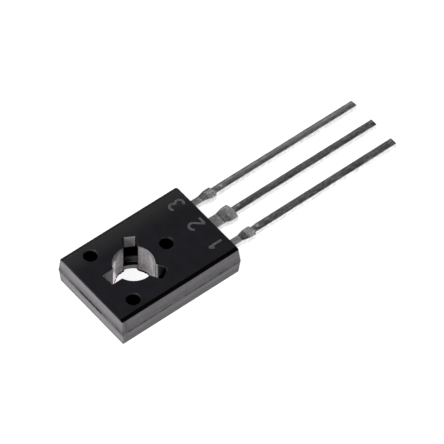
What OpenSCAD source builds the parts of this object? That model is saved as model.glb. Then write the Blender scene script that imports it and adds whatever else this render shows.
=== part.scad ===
// Three-lead power transistor in a flat moulded package with a screw hole.
// It lies on its back. The origin is on the axis of the screw hole, at the back face.
// +X runs along the leads, +Z comes out of the front face. Millimetres.

/* [Moulded body] */
// Length of the body, at the parting line
body_l = 10.9; // [10.2:0.1:12]
// Width of the body, at the parting line
body_w = 7.56; // [7.2:0.02:8.4]
// Thickness of the body
body_t = 2.65; // [2.5:0.05:3.2]
// Height of the parting line over the back
parting_z = 1.28; // [1:0.02:1.5]
// Distance from the axis of the screw hole to the near end of the body
hole_to_end = 3.95; // [3.6:0.05:4.2]
// Draft of the walls under the parting line, in degrees
lower_draft = 4; // [2:0.5:6]
// Draft of the long walls over the parting line, in degrees
side_draft = 6; // [4:0.5:10]
// Draft of the wall beside the screw hole, in degrees
hole_end_draft = 1.5; // [1:0.5:9]
// Draft of the wall that the leads come out of, in degrees
lead_end_draft = 5.5; // [4:0.5:12]
// Width of the bevel along both long edges of the front
bevel_w = 0.33; // [0.15:0.01:0.4]
// Height of that bevel
bevel_h = 0.12; // [0.1:0.01:0.3]
// Radius of the two short edges of the front
edge_r = 0.05; // [0.03:0.01:0.15]
// Radius of the upright corners beside the screw hole
hole_corner_r = 0.08; // [0.06:0.01:0.4]
// Radius of the upright corners beside the leads
lead_corner_r = 0.1; // [0.06:0.01:0.5]

/* [Screw hole] */
// Diameter of the screw hole
hole_d = 3.12; // [2.9:0.02:3.3]
// Plastic between the screw hole and the edge of the hole in the header
lining = 0.24; // [0.15:0.01:0.35]
// Width of the notches that the hold-down pins of the mould leave
notch_w = 1.07; // [0.8:0.01:1.2]
// Reach of the notches outside the wall of the screw hole
notch_reach = 0.89; // [0.7:0.01:1]
// Radius of the outer corners of the notches
notch_corner_r = 0.15; // [0.05:0.01:0.2]
// Height of the ring of plastic left whole under the notches
ring_h = 0.45; // [0.3:0.05:0.7]

/* [Marks of the mould] */
// Diameter of the ejector-pin marks
mark_d = 1.1; // [0.8:0.02:1.3]
// Depth of the ejector-pin marks
mark_depth = 0.16; // [0.05:0.01:0.25]
// Distance from the end of the body to the centres of the pair of marks
pair_mark_to_end = 1.94; // [1.3:0.02:2.2]
// Distance from the middle of the body to the centres of the pair of marks
pair_mark_y = 2.49; // [2.2:0.01:2.8]
// Distance from the lead end of the body to the centre of the single mark
single_mark_to_end = 3.94; // [3.4:0.02:4.2]
// Width of the scar where the gate broke off
gate_w = 2.6; // [1.5:0.1:4]
// Height of the gate scar
gate_h = 0.2; // [0.1:0.01:0.3]
// Depth of the gate scar
gate_depth = 0.12; // [0.05:0.01:0.2]
// Size of the nibs of flash in the corners between the leads and the body
nib = 0.17; // [0.08:0.01:0.25]

/* [Header] */
// Thickness of the header, which is the thick gauge of the strip
header_t = 1.27; // [1.1:0.01:1.4]
// Plastic between the side of the header and the side of the body
side_cover = 0.5; // [0.4:0.05:0.8]
// Plastic between the header and the end of the body beside the screw hole
end_cover = 0.6; // [0.4:0.05:0.8]
// Length of body past the header on the lead side
lead_cover = 2.3; // [2.2:0.05:2.6]
// Width of the step that locks the header under the plastic
lip_w = 0.4; // [0.2:0.05:0.5]
// Thickness of that step
lip_t = 0.5; // [0.3:0.05:0.7]
// Depth of the two lock grooves across the header
groove_depth = 0.14; // [0.05:0.01:0.2]

/* [Leads] */
// Length of the leads outside the body
lead_l = 15.7; // [12:0.1:18]
// Distance between the middles of neighbouring leads
pitch = 2.286; // [2.2:0.01:2.4]
// Width of the leads
lead_w = 0.6; // [0.5:0.01:0.88]
// Thickness of the leads, which is the thin gauge of the strip
lead_t = 0.5; // [0.39:0.01:0.55]
// Height of the underside of the leads over the back of the body
lead_z = 1.1; // [1.05:0.01:1.15]
// Width of the outer leads where they leave the body
outer_root_w = 0.6; // [0.5:0.01:0.75]
// Width of the centre lead where it leaves the body
centre_root_w = 1.06; // [0.9:0.01:1.2]
// Width that the tie bar's stubs add on each side of a lead
stub_w = 0.165; // [0.05:0.005:0.2]
// Length of the leads' roots, from the body to the widening
root_l = 1.05; // [0.8:0.01:1.2]
// Length over which the roots widen
widening_l = 0.6; // [0.3:0.01:0.7]
// Distance from the body to the outer side of the tie bar's stubs
shoulder_l = 2.25; // [2:0.01:2.6]
// Gap between the header and the bond posts
post_gap = 0.4; // [0.3:0.05:0.5]
// Length of the bond posts
post_l = 1.3; // [1.1:0.05:1.4]
// Width of the bond posts
post_w = 1.66; // [1.4:0.02:1.7]
// Diameter of the lock hole in each bond post
lock_hole_d = 0.5; // [0.3:0.05:0.6]
// Distance from the end of a bond post to the middle of its lock hole
lock_hole_inset = 0.42; // [0.4:0.02:0.6]
// Length over which the centre lead steps up from the header
step_l = 0.4; // [0.2:0.05:0.6]
// Flat length of the centre lead between the header and its step
step_gap = 0.15; // [0.05:0.05:0.3]

/* [Chip] */
// Side of the square chip
die_w = 1.7; // [1.2:0.05:1.8]
// Thickness of the chip
die_t = 0.22; // [0.15:0.01:0.3]
// Width of the solder that shows round the chip
fillet_w = 0.1; // [0.05:0.01:0.12]
// Thickness of the solder under the chip
solder_t = 0.05; // [0.03:0.01:0.1]
// Header left bare between the solder and the header's end
die_margin = 0.08; // [0.05:0.01:0.1]
// Diameter of the bond wires
wire_d = 0.2; // [0.15:0.01:0.25]
// Height of the wires' loops over their feet
loop_h = 0.42; // [0.3:0.02:0.45]
// Length of the wires' flattened feet
foot_l = 0.42; // [0.3:0.02:0.46]
// Distance from the edge of a bond post to the end of the wire's loop
landing = 0.3; // [0.2:0.05:0.5]

/* [Hidden] */

$fn = 64;
// how far a cutting tool runs past the face it cuts
past = 1;

// ends of the body at the parting line
hole_end_x = -hole_to_end;
lead_end_x = body_l - hole_to_end;

// header
hole_r = hole_d / 2;
header_hole_r = hole_r + lining;
header_w = body_w - 2 * side_cover;
header_x0 = hole_end_x + end_cover;
header_x1 = lead_end_x - lead_cover;
bare_w = header_w - 2 * lip_w;
bare_x0 = header_x0 + lip_w;

// leads
lead_top = lead_z + lead_t;
tip_x = lead_end_x + lead_l;
shoulder_x = lead_end_x + shoulder_l;
widening_x = lead_end_x + root_l;
post_x0 = header_x1 + post_gap;
post_x1 = post_x0 + post_l;
// the centre lead steps up from the header over this stretch
step_x0 = header_x1 + step_gap;
step_x1 = step_x0 + step_l;

// chip
die_x = header_x1 - die_margin - fillet_w - die_w / 2;
die_z = header_t + solder_t;
die_top = die_z + die_t;
wire_r = wire_d / 2;
foot_w = 1.3 * wire_d;
foot_t = 0.8 * wire_d;

// ---- moulded body ----

// Set-back of the upper and lower walls at height z, for an upper draft
function set_back(z, draft) =
    z < parting_z ? (parting_z - z) * tan(lower_draft) : (z - parting_z) * tan(draft);

// Extra set-back of the rounded short edges of the front
function rounding(z) =
    let (up = max(0, z - (body_t - edge_r)))
    edge_r - sqrt(max(0, edge_r * edge_r - up * up));

// Extra set-back of the bevelled long edges of the front
function bevelling(z) = max(0, z - (body_t - bevel_h)) * bevel_w / bevel_h;

// Four thin discs that mark the body's corners at height z
module corners_at(z) {
    disc_t = 0.002;
    side = body_w / 2 - set_back(z, side_draft) - bevelling(z);
    x0 = hole_end_x + set_back(z, hole_end_draft) + rounding(z);
    x1 = lead_end_x - set_back(z, lead_end_draft) - rounding(z);
    disc_z = min(z, body_t - disc_t);
    for (way = [-1, 1]) {
        translate([x0 + hole_corner_r, way * (side - hole_corner_r), disc_z])
            cylinder(h = disc_t, r = hole_corner_r, $fn = 32);
        translate([x1 - lead_corner_r, way * (side - lead_corner_r), disc_z])
            cylinder(h = disc_t, r = lead_corner_r, $fn = 32);
    }
}

// Outer form of the moulding: drafted both ways from the parting line
module moulding() {
    hull() {
        corners_at(0);
        corners_at(parting_z);
        corners_at(body_t - bevel_h);
        for (turn = [0 : 30 : 90]) corners_at(body_t - edge_r + edge_r * sin(turn));
    }
}

// Plan of one hold-down pin, from the hole's axis outwards, with round outer corners
module notch_plan() {
    reach = hole_r + notch_reach;
    translate([0, -notch_w / 2]) square([reach - notch_corner_r, notch_w]);
    translate([0, notch_corner_r - notch_w / 2]) square([reach, notch_w - 2 * notch_corner_r]);
    for (way = [-1, 1])
        translate([reach - notch_corner_r, way * (notch_w / 2 - notch_corner_r)])
            circle(r = notch_corner_r);
}

// Space that the core of the mould leaves: the bore, and three notches that go down to the
// whole ring. The header fills their outer part, so they stand on it
module screw_hole_core() {
    translate([0, 0, -past]) cylinder(h = body_t + 2 * past, r = hole_r);
    for (turn = [60 : 120 : 300])
        rotate([0, 0, turn])
            translate([0, 0, ring_h]) linear_extrude(body_t - ring_h + past) notch_plan();
}

module ejector_marks() {
    places = [[hole_end_x + pair_mark_to_end, pair_mark_y],
              [hole_end_x + pair_mark_to_end, -pair_mark_y],
              [lead_end_x - single_mark_to_end, 0]];
    for (place = places)
        translate([place[0], place[1], body_t - mark_depth])
            cylinder(h = mark_depth + past, d = mark_d);
}

module gate_scar() {
    translate([hole_end_x - past, -gate_w / 2, parting_z - gate_h / 2])
        cube([past + gate_depth, gate_w, gate_h]);
}

// Wedge of flash between the body and one side of a lead, on the parting line
module flash_nib(y, way) {
    bury = 0.3;
    translate([lead_end_x - bury, y, parting_z - nib / 2])
        mirror([0, way < 0 ? 1 : 0, 0])
            linear_extrude(nib)
                polygon([[0, 0], [bury + nib, 0], [bury - 0.02, nib], [0, nib]]);
}

module moulded_body() {
    color([0.15, 0.15, 0.16])
    difference() {
        union() {
            moulding();
            flash_nib(pitch - outer_root_w / 2, -1);
            flash_nib(centre_root_w / 2, 1);
            flash_nib(-centre_root_w / 2, -1);
            flash_nib(-pitch - outer_root_w / 2, -1);
        }
        screw_hole_core();
        ejector_marks();
        gate_scar();
        collector_frame();
        emitter_lead();
        base_lead();
        silicon_die();
        die_attach_solder();
        emitter_bond_wire();
        base_bond_wire();
    }
}

// ---- stamped frame ----

// One lead from x = start to its tip: root, widening, stubs of the tie bar, plain lead
module lead_blank(start, root_w) {
    wide = max(root_w, lead_w) / 2 + stub_w;
    half = [[start, root_w / 2], [widening_x, root_w / 2], [widening_x + widening_l, wide],
            [shoulder_x, wide], [shoulder_x, lead_w / 2], [tip_x, lead_w / 2]];
    other_half = [for (i = [len(half) - 1 : -1 : 0]) [half[i][0], -half[i][1]]];
    translate([0, 0, lead_z]) linear_extrude(lead_t) polygon(concat(half, other_half));
}

// Lock groove across the top of the header, with sloping sides
module lock_groove(x) {
    translate([x, header_w / 2 + past, header_t])
        rotate([90, 0, 0])
            linear_extrude(header_w + 2 * past)
                polygon([[-groove_depth, past], [-groove_depth, 0], [0, -groove_depth],
                         [groove_depth, 0], [groove_depth, past]]);
}

// Thick header: bare at the back, with a step round three sides that the plastic grips
module header() {
    difference() {
        union() {
            translate([bare_x0, -bare_w / 2, 0]) cube([header_x1 - bare_x0, bare_w, header_t]);
            translate([header_x0, -header_w / 2, header_t - lip_t])
                cube([header_x1 - header_x0, header_w, lip_t]);
        }
        translate([0, 0, -past]) cylinder(h = header_t + 2 * past, r = header_hole_r);
        for (place = [1, 2.5])
            lock_groove(header_hole_r + place * groove_depth);
    }
}

// Step from the top of the header up to the height of the leads
module step_up() {
    bury = 0.3;
    low = header_t - lead_t;
    translate([0, centre_root_w / 2, 0])
        rotate([90, 0, 0])
            linear_extrude(centre_root_w)
                polygon([[header_x1 - bury, low], [step_x0, low], [step_x1, lead_z],
                         [step_x1, lead_top], [step_x0, header_t], [header_x1 - bury, header_t]]);
}

module collector_frame() {
    color([0.72, 0.7, 0.68])
    union() {
        header();
        step_up();
        lead_blank(step_x1, centre_root_w);
    }
}

// Outer lead with its bond post; the plastic fills the lock hole
module outer_lead(way) {
    translate([0, way * pitch, 0])
        difference() {
            union() {
                lead_blank(post_x0, outer_root_w);
                translate([post_x0, -post_w / 2, lead_z]) cube([post_l, post_w, lead_t]);
            }
            translate([post_x1 - lock_hole_inset, way * post_w / 4, lead_z - past])
                cylinder(h = lead_t + 2 * past, d = lock_hole_d);
        }
}

module emitter_lead() {
    color([0.62, 0.62, 0.64]) outer_lead(-1);
}

module base_lead() {
    color([0.62, 0.62, 0.64]) outer_lead(1);
}

// ---- chip and wires ----

module silicon_die() {
    color([0.35, 0.38, 0.45])
    translate([die_x - die_w / 2, -die_w / 2, die_z]) cube([die_w, die_w, die_t]);
}

module die_attach_solder() {
    side = die_w + 2 * fillet_w;
    color([0.8, 0.8, 0.82])
    translate([die_x - side / 2, -side / 2, header_t]) cube([side, side, solder_t]);
}

// Flattened foot of a bond wire: it runs back from the start of the loop
module wire_foot() {
    translate([-foot_l, -foot_w / 2, -foot_t / 2]) cube([foot_l + wire_r, foot_w, foot_t]);
}

// Round wire in one arc between two feet; the places are the feet's inner ends
module bond_wire(from, to) {
    run = norm([to[0] - from[0], to[1] - from[1]]);
    heading = atan2(to[1] - from[1], to[0] - from[0]);
    tilt = atan2(to[2] - from[2], run);
    chord = norm(to - from);
    arc_r = (chord * chord / 4 + loop_h * loop_h) / (2 * loop_h);
    half_turn = asin(chord / 2 / arc_r);
    translate(from) rotate([0, 0, heading]) {
        wire_foot();
        rotate([0, -tilt, 0])
            translate([chord / 2, 0, loop_h - arc_r])
                rotate([90, 0, 0])
                    rotate([0, 0, 90 - half_turn])
                        rotate_extrude(angle = 2 * half_turn)
                            translate([arc_r, 0]) circle(r = wire_r, $fn = 24);
    }
    translate(to) rotate([0, 0, heading + 180]) wire_foot();
}

// A wire from the chip to the bond post on one side
module post_wire(way) {
    die_foot = [die_x + die_w / 4, way * die_w * 0.3, die_top + foot_t / 2];
    post_foot = [post_x0 + landing, way * (pitch - post_w / 4), lead_top + foot_t / 2];
    bond_wire(die_foot, post_foot);
}

module emitter_bond_wire() {
    color([0.85, 0.85, 0.87]) post_wire(-1);
}

module base_bond_wire() {
    color([0.85, 0.85, 0.87]) post_wire(1);
}

moulded_body();
collector_frame();
emitter_lead();
base_lead();
silicon_die();
die_attach_solder();
emitter_bond_wire();
base_bond_wire();
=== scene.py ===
"""A three-lead power transistor in a flat moulded package, lying on its back on white paper."""
import math

import bmesh
import bpy
import numpy as np
from mathutils import Matrix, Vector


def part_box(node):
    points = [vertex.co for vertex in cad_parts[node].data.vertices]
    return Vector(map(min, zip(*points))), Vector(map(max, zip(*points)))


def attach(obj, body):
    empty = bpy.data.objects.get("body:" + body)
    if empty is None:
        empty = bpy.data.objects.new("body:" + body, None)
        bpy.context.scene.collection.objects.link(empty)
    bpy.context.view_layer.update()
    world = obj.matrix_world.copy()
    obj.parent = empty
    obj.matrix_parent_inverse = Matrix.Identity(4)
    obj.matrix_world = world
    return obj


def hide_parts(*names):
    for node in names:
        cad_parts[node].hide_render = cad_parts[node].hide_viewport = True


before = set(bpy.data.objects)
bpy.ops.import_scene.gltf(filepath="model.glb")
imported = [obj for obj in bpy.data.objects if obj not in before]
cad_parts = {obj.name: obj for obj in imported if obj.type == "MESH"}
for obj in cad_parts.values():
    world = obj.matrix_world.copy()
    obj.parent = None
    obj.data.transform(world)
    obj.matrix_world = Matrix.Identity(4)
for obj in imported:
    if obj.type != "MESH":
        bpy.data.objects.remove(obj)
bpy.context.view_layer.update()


# ---- Stamped frame ----
# Three pieces of one copper strip, stamped in two gauges and nickel plated. The header is the
# collector; its back lies bare in the back of the body, and its hole clears the screw hole.

MM = 0.001
header_t = 1.27
tip_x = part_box("emitter_lead")[1][0] / MM
notch_reach = 2.45
bare_copper = (0.66, 0.37, 0.25, 1)


class Wire:
    """A shader socket that does arithmetic: each operator adds the Math node of its name."""

    def __init__(self, nodes, socket):
        self.nodes, self.socket = nodes, socket

    def math(self, operation, *values):
        return self.nodes.add("ShaderNodeMath", {"operation": operation}, dict(enumerate(values)))

    def __add__(self, other):
        return self.math("ADD", self, other)

    def __sub__(self, other):
        return self.math("SUBTRACT", self, other)

    def __rsub__(self, other):
        return self.math("SUBTRACT", other, self)

    def __mul__(self, other):
        return self.math("MULTIPLY", self, other)

    def __truediv__(self, other):
        return self.math("DIVIDE", self, other)

    def __pow__(self, other):
        return self.math("POWER", self, other)

    __radd__, __rmul__ = __add__, __mul__

    def size(self):
        """The value without its sign."""
        return self.math("ABSOLUTE", self)

    def most(self, other):
        """The larger of the two values."""
        return self.math("MAXIMUM", self, other)

    def rise(self, low, high):
        """0 below low, 1 above high, and a smooth step between them."""
        return self.nodes.add("ShaderNodeMapRange", {"interpolation_type": "SMOOTHSTEP"},
                              {"Value": self, "From Min": low, "From Max": high})

    def near(self, middle, reach):
        """1 at the middle value, falling smoothly to 0 at reach on either side of it."""
        return 1 - (self - middle).size().rise(0.0, reach)


class Nodes:
    """A node tree that is built up one node at a time."""

    def __init__(self, owner):
        owner.use_nodes = True
        self.tree = owner.node_tree

    def link(self, value, socket):
        """Fills a socket with a number or colour, or joins a wire to it."""
        if isinstance(value, Wire):
            self.tree.links.new(value.socket, socket)
        else:
            socket.default_value = value

    def add(self, kind, settings, inputs, output=0):
        """A node of this kind: its settings are made first, and then its sockets are filled."""
        node = self.tree.nodes.new(kind)
        for name, value in settings.items():
            if name == "stops":
                self.stops(node.color_ramp.elements, value)
            else:
                setattr(node, name, value)
        for name, value in inputs.items():
            self.link(value, node.inputs[name])
        return Wire(self, node.outputs[output])

    def stops(self, elements, levels):
        """Gives a ramp these stops, each as a position and a level of grey."""
        while len(elements) < len(levels):
            elements.new(0.5)
        for element, (position, level) in zip(elements, levels):
            element.position = position
            element.color = (level, level, level, 1)

    def outlets(self, kind, inputs):
        """A node of this kind, as the dictionary of its output sockets, each as a wire."""
        first = self.add(kind, {}, inputs)
        return {socket.name: Wire(self, socket) for socket in first.socket.node.outputs}


class Finish(Nodes):
    """The nodes of one material, which measure in millimetres of the part's own frame."""

    def __init__(self, name, **constants):
        self.material = bpy.data.materials.new(name)
        super().__init__(self.material)
        self.shader = self.tree.nodes["Principled BSDF"]
        for socket, value in constants.items():
            self.set(socket.replace("_", " "), value)
        place = self.add("ShaderNodeTexCoord", {}, {}, "Object")
        self.place = self.add("ShaderNodeVectorMath", {"operation": "SCALE"},
                              {"Vector": place, "Scale": 1 / MM})
        self.x, self.y, self.z = self.outlets("ShaderNodeSeparateXYZ", {0: self.place}).values()

    def set(self, socket, value):
        """Fills or joins a socket of the surface shader."""
        self.link(value, self.shader.inputs[socket])

    def noise(self, per_mm, detail=3.0, drawn_out=(1, 1, 1)):
        """Cloudy noise around a half, with this many cells in a mm, drawn out along the axes."""
        place = self.add("ShaderNodeVectorMath", {"operation": "MULTIPLY"},
                         {0: self.place, 1: [1 / length for length in drawn_out]})
        return self.add("ShaderNodeTexNoise", {},
                        {"Vector": place, "Scale": per_mm, "Detail": detail})

    def blend(self, mask, under, over):
        """The colour over laid on the colour under, as far as the mask says."""
        return self.add("ShaderNodeMix", {"data_type": "RGBA"}, {0: mask, 6: under, 7: over}, 2)

    def relief(self, height_mm):
        """Bumps of this height over the surface."""
        self.set("Normal", self.add("ShaderNodeBump", {}, {"Height": height_mm, "Distance": MM}))


def grey(level, warmth=0.0, rose=0.0):
    """An almost neutral colour: warmth leans it to brown, or below 0 to blue; rose to purple."""
    return (level * (1 + warmth + rose), level * (1 - rose), level * (1 - warmth + rose), 1)


def placed(name, mesh, finish):
    """A new object with this mesh and this finish, which rides on the part."""
    piece = bpy.data.objects.new(name, mesh)
    bpy.context.scene.collection.objects.link(piece)
    mesh.materials.append(finish.material)
    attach(piece, "root")
    return piece


def eased_copy(name, node, weld_mm, radius_mm, chosen):
    """A node's shape as one joined mesh, with the chosen edges rounded to this radius.

    Corners closer than the weld become one, and flat faces are made whole. Chosen is told an
    edge's middle, in mm, and how many degrees its faces turn. An edge that isn't rounded stays
    sharp where it turns by over 30 degrees, or by over 4 where it is level.
    """
    flat_degrees, sharp_degrees, sharp_if_level, level_mm = 0.5, 30, 4, 0.01
    shape = bmesh.new()
    shape.from_mesh(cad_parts[node].data)
    bmesh.ops.remove_doubles(shape, verts=shape.verts, dist=weld_mm * MM)
    bmesh.ops.dissolve_limit(shape, angle_limit=math.radians(flat_degrees), verts=shape.verts,
                             edges=shape.edges)
    rounded = []
    for edge in shape.edges:
        turn = math.degrees(edge.calc_face_angle(0))
        start, end = (np.array(corner.co) / MM for corner in edge.verts)
        level = abs(start[2] - end[2]) < level_mm
        if chosen((start + end) / 2, turn):
            rounded.append(edge)
        elif turn > sharp_degrees or (level and turn > sharp_if_level):
            edge.smooth = False
    bmesh.ops.bevel(shape, geom=rounded, offset=radius_mm * MM, segments=3, profile=0.5,
                    affect="EDGES", clamp_overlap=False)
    for face in shape.faces:
        face.smooth = True
    mesh = bpy.data.meshes.new(name)
    shape.to_mesh(mesh)
    shape.free()
    return mesh


def face_weighted(piece):
    """Shades flat faces as flat, up to their rounded edges."""
    weighted = piece.modifiers.new("flat_faces", "WEIGHTED_NORMAL")
    weighted.keep_sharp = True


plated = Finish("plated_copper")
rolling = plated.noise(6.0, 4.0, (14, 1, 1))
stain = plated.noise(0.9, 4.0)
# in the notches the header's edge is painted dark as shade, mottled paler on one side as painted
# light, with a painted highlight band on that side
radius = (plated.x * plated.x + plated.y * plated.y) ** 0.5
in_notches = (1 - radius.rise(notch_reach + 0.1, notch_reach + 0.15)) * plated.z.rise(0.05, 0.1)
# the header's top face inside the notches is painted near black, as painted shade
shaded_seat = in_notches * plated.z.rise(header_t - 0.06, header_t - 0.02)
# r sin 3a, with a the angle round the hole, crosses from one side of every notch to the other
r_sin_3a = (plated.x * plated.x * plated.y * 3 - plated.y * plated.y * plated.y) / radius / radius
one_side = r_sin_3a.rise(-1.2, 1.2)
# a painted highlight band round the header's edge at this height, used on one side of the notches,
# where it is not metallic
highlight_band = plated.z.near(0.55, 0.06) * in_notches
notch_mottle = plated.noise(2.2, 3.0, (3, 3, 0.5)).rise(0.4, 0.75)
cut_tip = plated.x.rise(tip_x - 0.05, tip_x - 0.03)
colour = plated.blend(stain.rise(0.35, 0.7), grey(0.46, 0.02), grey(0.58, 0.03))
colour = plated.blend(rolling.rise(0.4, 0.8) * 0.4, colour, grey(0.66, 0.01))
# painted shade in the notches, with paler painted light in mottles on one side
notch_shade = plated.blend(one_side * notch_mottle, grey(0.002), grey(0.12))
colour = plated.blend(in_notches, colour, notch_shade)
colour = plated.blend(shaded_seat, colour, grey(0.002))
colour = plated.blend(highlight_band * one_side, colour, grey(0.9))
colour = plated.blend(cut_tip, colour, bare_copper)
plated.set("Base Color", colour)
plated.set("Metallic", 1 - highlight_band * one_side)
plated.set("Roughness", 0.3 + 0.2 * rolling + 0.12 * stain)
plated.relief(0.003 * rolling + 0.002 * plated.noise(30.0, 2.0))

for node, slot in (("collector_frame", "frame_copper"), ("emitter_lead", "tinned_lead"),
                   ("base_lead", "tinned_lead")):
    name = "stamped_" + node
    mesh = eased_copy(name, node, weld_mm=0.002, radius_mm=0.04,
                      chosen=lambda middle, turn: turn > 30)
    strip = placed(name, mesh, plated)
    face_weighted(strip)
    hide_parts(node)


# ---- Chip and bond wires ----
# A silicon chip with aluminium contact fingers, soldered to the header. Two aluminium wires are
# bonded from it to the posts of the outer leads. All of it ends up inside the moulding.

chip_top_z = 1.54
dark_silicon = (0.09, 0.1, 0.13, 1)

silicon = Finish("silicon_with_contacts", Roughness=0.25)
fingers = silicon.add("ShaderNodeTexWave", {}, {"Vector": silicon.place, "Scale": 1.1})
top_face = silicon.z.rise(chip_top_z - 0.02, chip_top_z - 0.005)
contacts = fingers.rise(0.45, 0.55) * top_face
silicon.set("Base Color", silicon.blend(contacts, dark_silicon, grey(0.75)))
silicon.set("Metallic", contacts)

soft_solder = Finish("soft_solder", Metallic=1.0)
frosting = soft_solder.noise(8.0, 3.0)
soft_solder.set("Base Color", soft_solder.blend(frosting, grey(0.42), grey(0.6)))
soft_solder.set("Roughness", 0.3 + 0.3 * frosting)

drawn_wire = Finish("drawn_aluminium", Metallic=1.0)
die_lines = drawn_wire.noise(12.0, 2.0, (3, 3, 1))
drawn_wire.set("Base Color", drawn_wire.blend(die_lines, grey(0.74), grey(0.88)))
drawn_wire.set("Roughness", 0.2 + 0.15 * die_lines)

for node, finish in (("silicon_die", silicon), ("die_attach_solder", soft_solder),
                     ("emitter_bond_wire", drawn_wire), ("base_bond_wire", drawn_wire)):
    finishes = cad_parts[node].data.materials
    finishes.clear()
    finishes.append(finish.material)


# ---- Moulded body ----
# Black epoxy moulding compound, pressed in one shot round the frame. The mould opens along the
# parting line, its core leaves the screw hole with three notches, and three pins push it out.

hole_end_x, lead_end_x = -3.95, 6.95
body_half_w = 3.78
parting_z = 1.28
front_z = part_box("moulded_body")[1][2] / MM
bore_r = 1.56
ring_z = 0.45
bevel_foot_z = 2.5
pin_floor_z = 2.49
gate_half_l = 1.3
gate_low_z, gate_high_z = 1.16, 1.38


def on_the_outside(middle, turn):
    """Edges of the outer form, of the screw hole with its notches, and of the pins' marks.

    The parting line stays sharp, and so do the edges round the leads.
    """
    x, y, z = middle
    from_axis = math.hypot(x, y)
    outer = x < hole_end_x + 0.15 or x > lead_end_x - 0.25 or abs(y) > body_half_w - 0.53
    hole = from_axis < bore_r + 0.04 or (from_axis < notch_reach + 0.15 and z > header_t + 0.03)
    rim = outer and abs(z - parting_z) > 0.2 or hole or z > front_z - 0.01
    by_a_lead = outer and 0.9 < z < 1.7 and x > lead_end_x - 0.95
    least_turn = 12
    return bool(rim and turn > least_turn and not by_a_lead)


def painted_bore_light(finish):
    """The pale grey painted in the bore as a painted reflection, and where its painted highlight
    lies.

    It is drawn in lines and scuffs, painted paler on one side as light falls, and carries a painted
    highlight on one flank.
    """
    worn = 0.5 * finish.noise(7.0, 3.0, (1, 1, 8)) + 0.5 * finish.noise(5.0, 3.0)
    one_side = (0.5 * finish.x + 0.866 * finish.y).rise(-0.6, 1.7)
    # painted paler on one side as light falls, and a painted highlight on one flank
    bore_highlight = (1 - finish.x.rise(-0.75, -0.45)) * finish.y.rise(0.0, 0.5)
    dark, pale, bright = (grey(level, 0.02, 0.03) for level in (0.08, 0.6, 0.85))
    colour = finish.blend(worn + 0.4 - 0.69 * one_side, dark, pale)
    return finish.blend(bore_highlight, colour, bright), bore_highlight


epoxy = Finish("black_epoxy", IOR=1.55)
# where a point lies: on an outer wall, in the bore, in a notch, in a pin's mark or in the gate's
# pocket
normal = epoxy.add("ShaderNodeNewGeometry", {}, {}, "Normal")
out_x, out_y, facing_up = epoxy.outlets("ShaderNodeSeparateXYZ", {0: normal}).values()
upright = 1 - facing_up.size().rise(0.25, 0.85)
radius = (epoxy.x * epoxy.x + epoxy.y * epoxy.y) ** 0.5
in_core = 1 - radius.rise(notch_reach + 0.1, notch_reach + 0.15)
outer_wall = upright * (1 - epoxy.z.rise(bevel_foot_z, bevel_foot_z + 0.03)) * (1 - in_core)
bore_wall = (1 - radius.rise(bore_r + 0.04, bore_r + 0.1)) * upright
towards_axis = (out_x * epoxy.x + out_y * epoxy.y) / radius * -1
notch_end = radius.rise(notch_reach - 0.15, notch_reach - 0.09) * in_core * upright
notch_end = notch_end * towards_axis.rise(0.88, 0.98)
# cos 3a, with a the angle round the hole, is -1 in the middle of each notch and 1 between them;
# near it, r sin 3a / 3 is about the distance from that middle
cos_3a = (epoxy.x * epoxy.x - epoxy.y * epoxy.y * 3) * epoxy.x / radius ** 3
across_notch = (epoxy.x * epoxy.x * 3 - epoxy.y * epoxy.y) * epoxy.y / radius / radius / 3
notch_end = notch_end * (1 - (across_notch - 0.05).size().rise(0.35, 0.43)) * epoxy.z.rise(1.4, 1.5)
notch_side = in_core * upright * (1 - notch_end) * (1 - bore_wall)
lining = bore_wall * epoxy.z.rise(ring_z - 0.01, ring_z + 0.01)
# a painted highlight on the bore's flank beside the notches
notch_flank_highlight = lining * (1 - cos_3a.rise(-0.5, 0.4)) * (1 - epoxy.y.rise(0.4, 0.9))
shaded_bore_corner = lining * (1 - cos_3a.rise(-0.48, -0.43))
notch_floor = in_core * (1 - epoxy.z.rise(2.45, 2.6))
pin_mark = (1 - in_core) * (1 - outer_wall) * epoxy.z.near(pin_floor_z, 0.06)
hole_end = 1 - epoxy.x.rise(hole_end_x + 0.15, hole_end_x + 0.25)
shaded_gate_pocket = hole_end * (1 - epoxy.y.size().rise(gate_half_l, gate_half_l + 0.06))
shaded_gate_pocket = (shaded_gate_pocket * epoxy.z.rise(gate_low_z - 0.08, gate_low_z)
             * (1 - epoxy.z.rise(gate_high_z, gate_high_z + 0.04)))
long_bevel = facing_up.near(0.94, 0.04)
# the cloudiness of the compound, level streaks on the walls, scuffs, and the mould's fine grain
mottle = epoxy.noise(1.3, 4.0)
streaks = epoxy.noise(3.0, 4.0, (5, 5, 1))
scuffs = epoxy.noise(5.0, 3.0)
grain = epoxy.noise(20.0, 2.0)

# the colours: the front, then the walls, painted paler than the front as lit, with painted light
# and shade that makes them palest near the top edge and at the hole's end and darkest along the
# parting line and at the foot, then the hole with its notches, the parting line and the gate's
# pocket
front = epoxy.blend(mottle.rise(0.3, 0.7), grey(0.009, -0.15, 0.09), grey(0.014, -0.2, 0.11))
# the front is painted lighter towards its far side, as painted light
front = epoxy.blend(epoxy.y.rise(1.5, 3.4) * 0.7, front, grey(0.045, 0.02))
# the chamfers along the long top edges, the notches' floors and the pins' marks are painted near
# black, as painted shade
front = epoxy.blend(long_bevel.most(notch_floor).most(pin_mark), front, grey(0.001))
# painted light and shade on the walls, over their streaks and scuffs: paler high up and round 0.85
# mm up, darker just below the parting line and at the very foot
paleness = (0.2 + 0.4 * epoxy.z.rise(1.4, 2.5) + 0.35 * epoxy.z.near(0.85, 0.4)
            - 0.6 * epoxy.z.near(1.17, 0.2) + 1.1 * (streaks - 0.5) + 0.9 * (scuffs - 0.5)
            - 0.8 * (1 - epoxy.z.rise(0.0, 0.2)))
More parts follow.
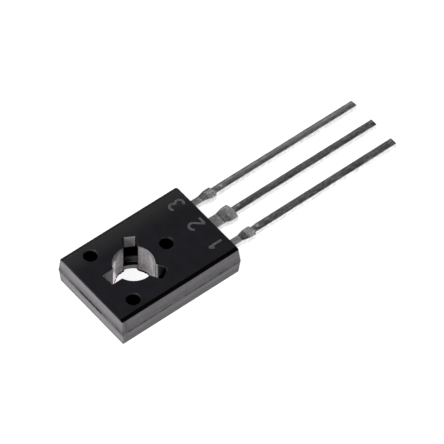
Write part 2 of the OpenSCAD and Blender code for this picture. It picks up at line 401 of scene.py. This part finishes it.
# the hole's end is painted paler as lit, with more painted light near 0.6 mm up and at the top, and
# painted shade round 1.25 mm up
end_painted_light = (0.32 + 0.3 * epoxy.z.near(0.6, 0.35) + 0.2 * epoxy.z.rise(2.2, 2.5)
                - 0.65 * epoxy.z.near(1.25, 0.75))
# the long walls are painted lighter round 2.1 mm up, and darker low down and towards the hole's end
# as painted shade
side_painted_light = (0.15 * epoxy.z.near(2.1, 0.4) - 0.3 * (1 - epoxy.z.rise(0.6, 0.95))
                 - 0.6 * (1 - epoxy.x.rise(hole_end_x + 0.15, hole_end_x + 0.75)))
paleness = paleness + hole_end * end_painted_light + (1 - hole_end) * side_painted_light
# the walls are painted paler than the front, as lit
wall = epoxy.blend(paleness, grey(0.03, 0.0, 0.06), grey(0.13, 0.0, 0.06))
bottom_rim = (1 - epoxy.z.rise(0.06, 0.12)) * bore_wall
colour = epoxy.blend(outer_wall, front, wall)
# the bore is painted pale grey as a painted reflection, with a painted highlight on one flank
bore_paint, bore_highlight = painted_bore_light(epoxy)
colour = epoxy.blend(bore_wall, colour, bore_paint)
# the painted highlight on the bore's flank, near white
colour = epoxy.blend(notch_flank_highlight, colour, grey(0.9, 0.02, 0.03))
# painted shade in the corners where the notches open off the bore
colour = epoxy.blend(shaded_bore_corner, colour, grey(0.02))
# the notches' sides are painted as light falls on them: on one side of the hole pale by the bore as
# a painted highlight and near black further out as painted shade, on the other a mid grey as
# painted light
lit_notch_side = epoxy.x.rise(-0.5, 0.5)
notch_side_glint = epoxy.blend(radius.rise(bore_r + 0.12, bore_r + 0.24), grey(0.45), grey(0.001))
colour = epoxy.blend(notch_side * lit_notch_side, colour, notch_side_glint)
colour = epoxy.blend(notch_side * (1 - lit_notch_side), colour, grey(0.06))
# the notches' end walls are painted pale grey as lit, and paler low down to lift the shade there
notch_end_light = epoxy.blend(epoxy.z.rise(1.5, 2.4), grey(0.62, 0.01, 0.03), grey(0.28, 0.01, 0.03))
colour = epoxy.blend(notch_end, colour, notch_end_light)
parting_line = (epoxy.z.near(parting_z, 0.07) * outer_wall * (0.2 + 0.7 * scuffs)
                * (1 - 0.6 * hole_end))
colour = epoxy.blend(parting_line, colour, grey(0.02))
# the gate's pocket is painted near black, as painted shade
colour = epoxy.blend(shaded_gate_pocket, colour, grey(0.002))
colour = epoxy.blend(bottom_rim, colour, grey(0.01))
epoxy.set("Base Color", colour)
# the gloss of steel-polished epoxy is that of a dark metal
polish = (0.35 + 0.4 * bore_highlight) * bore_wall * (1 - notch_flank_highlight * (1 - bore_highlight))
polish = polish.most(bottom_rim).most(shaded_gate_pocket).most(0.7 * notch_side * lit_notch_side)
epoxy.set("Metallic", polish.most(pin_mark * facing_up.rise(0.9, 0.95)))
epoxy.set("Roughness", 0.42 + 0.16 * (grain - 0.5) - 0.3 * bore_wall - 0.32 * long_bevel
          + 0.3 * notch_end - 0.2 * notch_side)
epoxy.relief(0.003 * grain + 0.006 * streaks * upright)

mesh = eased_copy("epoxy_body", "moulded_body", weld_mm=0.004, radius_mm=0.03,
                  chosen=on_the_outside)
body = placed("epoxy_body", mesh, epoxy)
face_weighted(body)
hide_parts("moulded_body")


# ---- Flash and gate stub ----
# Epoxy that leaked where the steel didn't quite close: a ragged fin along the parting line and a
# lip round the foot of the screw hole. The stub is what stayed when the runner was broken off.

lead_pitch = 2.286
outer_root_half_w, middle_root_half_w = 0.33, 0.56
lip_edge_z = 0.2


def ring_mesh(name, points, leftward):
    """A closed ring from a grid of points: rows run round it, columns round its section.

    Leftward says that the columns turn to the left as seen along the rows.
    """
    index = np.arange(points.shape[0] * points.shape[1]).reshape(points.shape[:2])
    ahead, beside = np.roll(index, -1, axis=0), np.roll(index, -1, axis=1)
    opposite = np.roll(ahead, -1, axis=1)
    order = [index, beside, opposite, ahead] if leftward else [index, ahead, opposite, beside]
    mesh = bpy.data.meshes.new(name)
    mesh.from_pydata((points.reshape(-1, 3) * MM).tolist(), [],
                     np.stack(order, axis=-1).reshape(-1, 4).tolist())
    return mesh


def flash_line(name, corner, gaps):
    """The thin ragged fin along the parting line, as a ribbon round a rectangle with round corners.

    Its section is a low triangle: the tip stands out by a sum of sine waves along the line. In
    each gap, given as an end of the body with its half width and middle, it sinks into the wall.
    """
    reach_x, reach_y = (lead_end_x - hole_end_x) / 2, body_half_w
    steps = np.linspace(0, 1, 1400, endpoint=False)
    straight_x, straight_y = 2 * (reach_x - corner), 2 * (reach_y - corner)
    bend = math.pi / 2 * corner
    lengths = np.cumsum([0] + [straight_x, bend, straight_y, bend] * 2)
    run = steps * lengths[-1]
    quarter = np.searchsorted(lengths, run, side="right") - 1
    into = run - lengths[quarter]
    turning = quarter % 2 == 1
    heading = (quarter // 2) * math.pi / 2 + np.where(turning, into / corner, 0)
    out_x, out_y = np.sin(heading), -np.cos(heading)
    side = quarter // 2
    corner_x = np.array([1, 1, -1, -1])[side] * (reach_x - corner)
    corner_y = np.array([-1, 1, 1, -1])[side] * (reach_y - corner)
    behind = np.where(turning, 0, np.array([straight_x, straight_y])[side % 2] - into)
    x = ((lead_end_x + hole_end_x) / 2 + corner_x - behind * np.cos(side * math.pi / 2)
         + corner * out_x)
    y = corner_y - behind * np.sin(side * math.pi / 2) + corner * out_y
    waves = np.array([1.1, 2.3, 3.7, 5.9, 8.3, 13.7])[:, None]
    stand = 0.022 + 0.006 * np.sin(waves * run + 5 * waves).sum(axis=0)
    sunk = -0.2
    for end, gap_half_w, middle in gaps:
        in_gap = (np.sign(x) == end) & (abs(y - middle) < gap_half_w) & (abs(out_x) > 0.9)
        stand = np.where(in_gap, sunk, stand)
    foot, half_t = 0.02, 0.022
    section_out = np.stack([np.full_like(stand, -foot), stand, np.full_like(stand, -foot)], axis=1)
    section_up = np.array([half_t, 0.0, -half_t])
    points = np.stack([x[:, None] + out_x[:, None] * section_out,
                       y[:, None] + out_y[:, None] * section_out,
                       parting_z + np.broadcast_to(section_up, section_out.shape)], axis=-1)
    return ring_mesh(name, points, leftward=True)


def lip_of_flash(name, reach, gap_degrees):
    """The lip that leaks inwards along the bottom edge of the bore, a ring of four-sided section.

    Its inner radius is the bore's less the reach, varied by sines of the angle, and a slope joins
    it to the bore, lower under the notches. In the middle of each the reach fades to nothing.
    """
    foot, low_z, back_z, half_notch_degrees = 0.02, 0.01, 0.004, 20.5
    turn = np.linspace(0, 2 * math.pi, 720, endpoint=False)
    waves = np.array([3, 5, 11, 23, 37])[:, None]
    ragged = 1 + 0.08 * np.sin(waves * turn + 2 * waves).sum(axis=0)
    from_notch = abs((np.degrees(turn) % 120) - 60)
    fade = np.clip((from_notch - gap_degrees) / 5, 0, 1)
    inner = bore_r - reach * ragged * fade + foot * (1 - fade)
    root = np.full_like(turn, bore_r + foot)
    radii = np.stack([root, inner, inner, root], axis=1)
    top = 0.4 + 0.4 * np.clip((from_notch - half_notch_degrees) / 2, 0, 1)
    levels = np.stack([top] + [np.full_like(turn, z) for z in (lip_edge_z, low_z, back_z)], axis=1)
    turn = turn[:, None]
    points = np.stack([radii * np.cos(turn), radii * np.sin(turn), levels], axis=-1)
    return ring_mesh(name, points, leftward=False)


def tube_mesh(name, points):
    """A tube from a grid of points: rows run along it and columns round it, and both ends close."""
    rows, columns = points.shape[:2]
    index = np.arange(rows * columns).reshape(rows, columns)
    following = np.roll(index, -1, axis=1)
    quads = np.stack([index[:-1], following[:-1], following[1:], index[1:]], axis=-1).reshape(-1, 4)
    faces = quads.tolist() + [index[0][::-1].tolist(), index[-1].tolist()]
    mesh = bpy.data.meshes.new(name)
    mesh.from_pydata((points.reshape(-1, 3) * MM).tolist(), [], faces)
    mesh.shade_smooth()
    return mesh


def torn_gate(name, centre_x, half_l, half_h, proud):
    """The torn stub in the gate's pocket, as an oval rod along Y.

    Its front stands out by a share of its half height, and sums of sines along and round it make
    it ragged. It ends in points.
    """
    y = np.linspace(-half_l, half_l, 160)[:, None]
    turn = np.linspace(0, 2 * math.pi, 16, endpoint=False)[None, :]
    waves = np.array([7.0, 13.0, 23.0, 41.0])[:, None, None]
    ragged = 1 + 0.09 * np.sin(waves * y + 2 * np.sin(waves + turn)).sum(axis=0)
    taper = np.clip((half_l - abs(y)) / 0.06, 0.05, 1)
    x = centre_x - proud * ragged * taper * np.cos(turn)
    z = parting_z + half_h * np.minimum(ragged, 1) * taper * np.sin(turn)
    return tube_mesh(name, np.stack([x, np.broadcast_to(y, x.shape), z], axis=-1))


fin = Finish("epoxy_flash", IOR=1.55)
in_bore = 1 - fin.x.size().most(fin.y.size()).rise(bore_r + 0.14, bore_r + 0.24)
torn_edge = in_bore * (1 - fin.z.rise(lip_edge_z - 0.01, lip_edge_z + 0.01))
colour = fin.blend(fin.noise(3.0), grey(0.03), grey(0.08))
# the lip in the bore takes the same painted reflection and highlight as the bore
bore_paint, bore_highlight = painted_bore_light(fin)
colour = fin.blend(in_bore, colour, bore_paint)
fin.set("Base Color", fin.blend(torn_edge, colour, grey(0.004)))
fin.set("Metallic", ((0.35 + 0.4 * bore_highlight) * in_bore).most(torn_edge))
fin.set("Roughness", 0.5 - 0.3 * in_bore + 0.8 * torn_edge)

torn = Finish("torn_epoxy", Roughness=0.9, Specular_IOR_Level=0.0)
torn.set("Base Color", torn.blend(torn.noise(9.0), grey(0.004), grey(0.03)))
gaps = [(-1, gate_half_l + 0.03, 0.0), (1, outer_root_half_w, lead_pitch),
        (1, middle_root_half_w, 0.0), (1, outer_root_half_w, -lead_pitch)]
stub = torn_gate("gate_stub", hole_end_x + 0.1, half_l=1.29, half_h=0.098, proud=0.085)
flash = flash_line("parting_flash", corner=0.09, gaps=gaps)
lip = lip_of_flash("bore_flash", reach=0.16, gap_degrees=16)
for mesh, finish in ((stub, torn), (flash, fin), (lip, fin)):
    placed(mesh.name, mesh, finish)


# ---- Solder coat ----
# The leads are dipped in tin-lead solder after moulding, up to the body. It draws back from the
# edges, stands crowned on the flats, and freezes in low runs, with a bead beside each cut tie bar.

coat_t = 0.012
strip_half_t = 0.25
strip_mid_z = 1.35
strip_top_z = strip_mid_z + strip_half_t
plain_half_w = 0.3
dip_x = 6.93
widening_x, wide_x, shoulder_x = 8.0, 8.6, 9.2
dip_line_x = widening_x + 0.08


def lead_section():
    """Points once round a rectangle with quarter-round corners, from its +Y side up and over.

    For each it gives how far across and how far up the rectangle it stands, from -1 to 1, and
    the direction in which it is rounded outwards, which is 0 along a flat's own way.
    """
    quarter = np.linspace(0, math.pi / 2, 6)
    flat, side = np.linspace(1, -1, 11)[1:-1], np.linspace(1, -1, 7)[1:-1]
    turn = [quarter + k * math.pi / 2 for k in range(4)]
    ones = np.ones
    across = np.concatenate([ones(6), flat, -ones(6), -ones(5), -ones(6), -flat, ones(6), ones(5)])
    upward = np.concatenate([ones(6), ones(9), ones(6), side, -ones(6), -ones(9), -ones(6), -side])
    out_y = np.concatenate([np.cos(turn[0]), np.zeros(9), np.cos(turn[1]), -ones(5),
                            np.cos(turn[2]), np.zeros(9), np.cos(turn[3]), ones(5)])
    out_z = np.concatenate([np.sin(turn[0]), ones(9), np.sin(turn[1]), np.zeros(5),
                            np.sin(turn[2]), -ones(9), np.sin(turn[3]), np.zeros(5)])
    return across, upward, out_y, out_z


def solder_skin(name, centre_y, root_half_w, seed, bead_x, bead_y, lean, far_t):
    """The coat of one lead, as its section carried along X.

    The section's flats swell by a crown times (1 - u^2), with u from -1 to 1 across the flat,
    and the top leans by a share of u. Past the shoulder the far side is thicker, by a share of u
    again. Long sine waves along and round the lead push it in and out, a Gaussian bead stands
    past the shoulder, and a Gaussian dip crosses the root.
    """
    corner, crown = 0.06, 0.022
    bead_h, bead_r = 0.06, 0.13
    dip_h, dip_half_w = 0.02, 0.05
    wide_half_w = max(root_half_w, plain_half_w) + 0.165
    x = np.concatenate([np.linspace(dip_x, 10.2, 150), np.linspace(10.25, tip_x - 0.03, 150),
                        [tip_x - 0.012, tip_x - 0.005]])
    half_w = np.interp(x, [dip_x, widening_x, wide_x, shoulder_x - 0.02, shoulder_x + 0.05, tip_x],
                       np.repeat([root_half_w, wide_half_w, plain_half_w], 2))
    eased = np.convolve(np.pad(half_w, 2, mode="edge"), np.full(5, 0.2), mode="valid")
    half_w = np.where(x < 10.2, eased, half_w) + coat_t
    half_t = np.full_like(x, strip_half_t + coat_t)
    half_w[-1] -= 0.01
    half_t[-1] -= 0.01
    across, upward, out_y, out_z = lead_section()

    chance = np.random.default_rng(seed)
    waves = 14
    along = chance.uniform(0.6, 9.0, waves)[:, None, None]
    round_it = chance.integers(0, 4, waves)[:, None, None]
    start = chance.uniform(0, 2 * math.pi, waves)[:, None, None]
    angle = np.arctan2(out_z + 0.3 * upward, out_y + 0.3 * across)
    ripple = np.sin(along * x[None, :, None] + round_it * angle + start) / along ** 0.5
    swell = 0.0035 * ripple.sum(axis=0) / math.sqrt(waves / 4)
    aside = (across * half_w[:, None] - bead_y) / bead_r
    past_bead = (x[:, None] - bead_x) / bead_r
    past_dip = (x[:, None] - dip_line_x) / dip_half_w
    swell += bead_h * np.exp(-past_bead ** 2 - aside ** 2) * (out_z > 0)
    swell -= dip_h * np.exp(-past_dip ** 2) * (out_z > 0)
    swell = np.maximum(swell, -0.008) * (x < tip_x - 0.02)[:, None]

    w, t = half_w[:, None], half_t[:, None]
    y = across * (w - corner) + out_y * (corner + 0.6 * crown * (1 - upward ** 2) + swell)
    y += far_t * np.clip((x[:, None] - shoulder_x - 0.1) / 0.6, 0, 1) * (0.5 + 0.5 * across)
    z = upward * (t - corner) + out_z * (corner + crown * (1 - across ** 2) + swell)
    z -= lean * across * (upward > 0.9)
    x = np.broadcast_to(x[:, None], y.shape)
    return tube_mesh(name, np.stack([x, centre_y + y, strip_mid_z + z], axis=-1))


def spots(finish, places, reach):
    """1 at each place, given by its x and y, falling smoothly to 0 at reach along X and along Y."""
    found = 0
    for x, y in places:
        found = (finish.x.near(x, reach) * finish.y.near(y, reach)).most(found)
    return found


solder = Finish("dipped_solder")
cloud = solder.noise(1.6, 4.0, (3, 1, 1))
speckle = solder.noise(9.0, 4.0, (2.5, 1, 1))
# where on a lead a point lies, from the root to the nicks near the tip
on_top = solder.z.rise(strip_top_z - 0.06, strip_top_z - 0.02)
root = (1 - solder.x.rise(widening_x - 0.05, widening_x + 0.1)) * on_top
widened = solder.x.rise(wide_x - 0.15, wide_x + 0.1) * on_top
widened = widened * (1 - solder.x.rise(shoulder_x, shoulder_x + 0.15))
beads = spots(solder, ((9.9, 2.17), (9.8, 0.06), (9.67, -2.24)), 0.16)
nicks = spots(solder, ((22.25, 0.05), (22.2, -2.2)), 0.12) * on_top
shaded_dip_line = solder.x.near(dip_line_x, 0.08) * on_top
# the colours: clouded, painted pale as light at the root, the widened part and on the sides,
# flecked dark and bright, and pitted
colour = solder.blend(cloud.rise(0.3, 0.7), grey(0.62, 0.01), grey(0.8, 0.01))
# the root, the widened part and the lead's sides are painted pale as light falls on them
colour = solder.blend(root.most(0.6 * widened).most(0.7 * (1 - on_top)), colour, grey(0.95))
colour = solder.blend((1 - speckle.rise(0.35, 0.6)) * 0.5, colour, grey(0.35))
colour = solder.blend(speckle.rise(0.55, 0.75), colour, grey(0.95))
# on the plain part the base lead's far half is painted pale as lit, and the other plain tops a
# little darker as painted shade
plain = on_top * solder.x.rise(shoulder_x + 0.1, shoulder_x + 0.5)
base_lead_mid_y = 2.28
lit_half = solder.y.rise(base_lead_mid_y - 0.08, base_lead_mid_y + 0.08) * plain
colour = solder.blend(lit_half * 0.6, colour, grey(0.95))
colour = solder.blend((plain - lit_half) * 0.12, colour, grey(0.35))
pits = (1 - solder.noise(10.0, 3.0).rise(0.36, 0.52)) * (0.3 * root).most(widened)
colour = solder.blend(0.6 * pits, colour, grey(0.2))
# painted shade along the dip across the root
colour = solder.blend(shaded_dip_line * 0.5, colour, grey(0.3))
solder.set("Base Color", colour)
neck = (1 - solder.x.rise(wide_x - 0.1, wide_x + 0.1)) * solder.y.rise(-1.5, -1.0) * on_top
frosted = (0.95 * root).most(0.29 * widened).most(0.15 * neck).most(0.6 * beads).most(0.3 * nicks)
solder.set("Metallic", 1 - frosted)
solder.set("Roughness", 0.26 + 0.06 * cloud + 0.24 * speckle.rise(0.4, 0.7) + 0.22 * root
           + 0.16 * widened + 0.2 * beads)
solder.relief(0.028 * speckle + 0.014 * solder.noise(3.0, 2.0, (2, 1, 1)) - 0.012 * pits)

# after each name: centre_y, root_half_w, seed, bead_x, bead_y, lean and far_t
for name, *sizes in (("solder_on_base_lead", lead_pitch, 0.3, 11, 9.9, -0.12, 0.03, 0.04),
                     ("solder_on_collector_lead", 0.0, 0.53, 12, 9.8, 0.06, 0.0, 0.018),
                     ("solder_on_emitter_lead", -lead_pitch, 0.3, 13, 9.67, 0.05, 0.0, 0.05)):
    coat = placed(name, solder_skin(name, *sizes), solder)


# ---- Pin numbers ----
# Plain numerals that a laser scribes in the front beside the leads, in two fine passes a stroke.
# The beam leaves the epoxy's filler showing, a dull grey brown.

numeral_h = 1.15
pass_w = 0.055
pass_gap = 0.1
numeral_x = 5.75
print_z = front_z + 0.004


def laser_pass(path, offset, width):
    """A flat ribbon along a path, moved sideways by the offset, with its two edges as columns."""
    along = np.gradient(path, axis=0)
    along /= np.linalg.norm(along, axis=1)[:, None]
    aside = np.stack([-along[:, 1], along[:, 0]], axis=1)
    edges = offset + width * np.array([-0.5, 0.5])
    return path[:, None, :] + aside[:, None, :] * edges[None, :, None]


def arc(centre, radius, start, end, steps=24):
    """Points on a circle between two angles in degrees."""
    turn = np.radians(np.linspace(start, end, steps))
    return np.array(centre) + radius * np.stack([np.cos(turn), np.sin(turn)], axis=1)


def line(start, end, steps=12):
    """Points evenly along a straight line."""
    return np.array(start) + (np.array(end) - np.array(start)) * np.linspace(0, 1, steps)[:, None]


numerals = {
    1: [line((-0.16, 0.72), (0.06, 1.0)), line((0.06, 1.0), (0.06, 0.0))],
    2: [np.concatenate([arc((0, 0.73), 0.27, 165, -25), line((0.23, 0.58), (-0.28, 0.02))[1:]]),
        line((-0.28, 0.0), (0.3, 0.0))],
    3: [arc((0, 0.76), 0.24, 150, -80), arc((0, 0.26), 0.27, 85, -150)],
}
burn = Finish("laser_burn", Roughness=0.8)
burn_flecks = burn.noise(14.0, 2.0)
burn.set("Base Color", burn.blend(burn_flecks.rise(0.35, 0.65), grey(0.16, 0.05), grey(0.28, 0.07)))

for number, strokes in numerals.items():
    centre_y = (number - 2) * lead_pitch
    ribbons = [laser_pass(stroke * numeral_h, side * pass_gap / 2, pass_w)
               for stroke in strokes for side in (-1, 1)]
    corners, faces, used = [], [], 0
    for ribbon in ribbons:
        count = len(ribbon)
        flat_xy = ribbon.reshape(-1, 2)
        # the top of a numeral points to the screw hole
        place = np.stack([numeral_x + numeral_h / 2 - flat_xy[:, 1], centre_y + flat_xy[:, 0],
                          np.full(2 * count, print_z)], axis=1)
        start = used + 2 * np.arange(count - 1)[:, None]
        faces += (start + np.array([0, 2, 3, 1])).tolist()
        corners.append(place)
        used += 2 * count
    mesh = bpy.data.meshes.new("pin_number_%d" % number)
    mesh.from_pydata((np.concatenate(corners) * MM).tolist(), [], faces)
    numeral = placed("pin_number_%d" % number, mesh, burn)


# ---- Paper, light and camera ----
# White paper, with a large soft lamp beyond the hole's end and a weak one on the emitter lead's
# side, in a room that is dim overhead. The camera stands high up between the two lamps.

paper_half, just_below = 3.0, -0.00001
sheet = bpy.data.meshes.new("paper")
sheet.from_pydata([(x * paper_half, y * paper_half, just_below)
                   for x, y in ((-1, -1), (1, -1), (1, 1), (-1, 1))], [], [(0, 1, 2, 3)])
paper = bpy.data.objects.new("paper", sheet)
bpy.context.scene.collection.objects.link(paper)
paper_white = Finish("white_paper", Base_Color=grey(0.5), Roughness=0.9)
ray = paper_white.outlets("ShaderNodeLightPath", {})
seen = ray["Is Camera Ray"].most(ray["Is Glossy Ray"]).most(ray["Is Transmission Ray"])
paper_white.set("Emission Color", paper_white.blend(seen, grey(0), grey(0.88)))
paper_white.set("Emission Strength", 1.0)
sheet.materials.append(paper_white.material)

room = bpy.data.worlds.new("dim_room")
bpy.context.scene.world = room
walls = Nodes(room)
direction = walls.add("ShaderNodeTexCoord", {}, {}, "Generated")
height = walls.outlets("ShaderNodeSeparateXYZ", {0: direction})["Z"]
# from level, at height 0, to straight up: how bright the room is in that direction
levels = [(0.0, 1.0), (0.1, 0.8), (0.3, 0.25), (0.6, 0.14), (0.8, 0.09), (0.88, 0.03), (1.0, 0.01)]
brightness = walls.add("ShaderNodeValToRGB", {"stops": levels}, {0: height})
walls.link(brightness, walls.tree.nodes["Background"].inputs["Color"])


def looking_back(place, back, roll=0.0):
    """The pose of a camera or lamp at a place, whose back points this way; it stands upright."""
    back = np.array(back) / np.linalg.norm(back)
    right = np.cross((0, 0, 1), back)
    right /= np.linalg.norm(right)
    up = np.cross(back, right)
    right, up = (right * math.cos(roll) + up * math.sin(roll),
                 up * math.cos(roll) - right * math.sin(roll))
    pose = np.eye(4)
    pose[:3] = np.stack([right, up, back, place], axis=1)
    return Matrix(pose.tolist())


def soft_lamp(name, towards, distance, side, power):
    """A square lamp at this distance towards a direction, facing the part."""
    lamp = bpy.data.lights.new(name, "AREA")
    lamp.shape, lamp.size, lamp.energy = "SQUARE", side, power
    stand = bpy.data.objects.new(name, lamp)
    bpy.context.scene.collection.objects.link(stand)
    way = np.array(towards) / np.linalg.norm(towards)
    stand.matrix_world = looking_back(way * distance, way)


soft_lamp("key", towards=(-0.9, 0.0, 0.42), distance=0.3, side=0.25, power=1.05)
soft_lamp("fill", towards=(0.1, -0.9, 0.4), distance=0.3, side=0.25, power=0.2)

azimuth, elevation, roll = (math.radians(angle) for angle in (-40.294, 52.297, 1.791))
camera_distance = 366.07 * MM
camera_target = np.array((8.709, 0.581, 0)) * MM
view_back = np.array((math.sin(azimuth) * math.cos(elevation),
                      -math.cos(azimuth) * math.cos(elevation), math.sin(elevation)))
frame_px, focal_px = 444, 5000
lens = bpy.data.cameras.new("camera")
lens.sensor_width = 36
lens.lens = lens.sensor_width * focal_px / frame_px
lens.clip_start = 0.01
camera = bpy.data.objects.new("camera", lens)
bpy.context.scene.collection.objects.link(camera)
camera.matrix_world = looking_back(camera_target + view_back * camera_distance, view_back, roll)
bpy.context.scene.camera = camera
bpy.context.scene.view_settings.view_transform = "Standard"
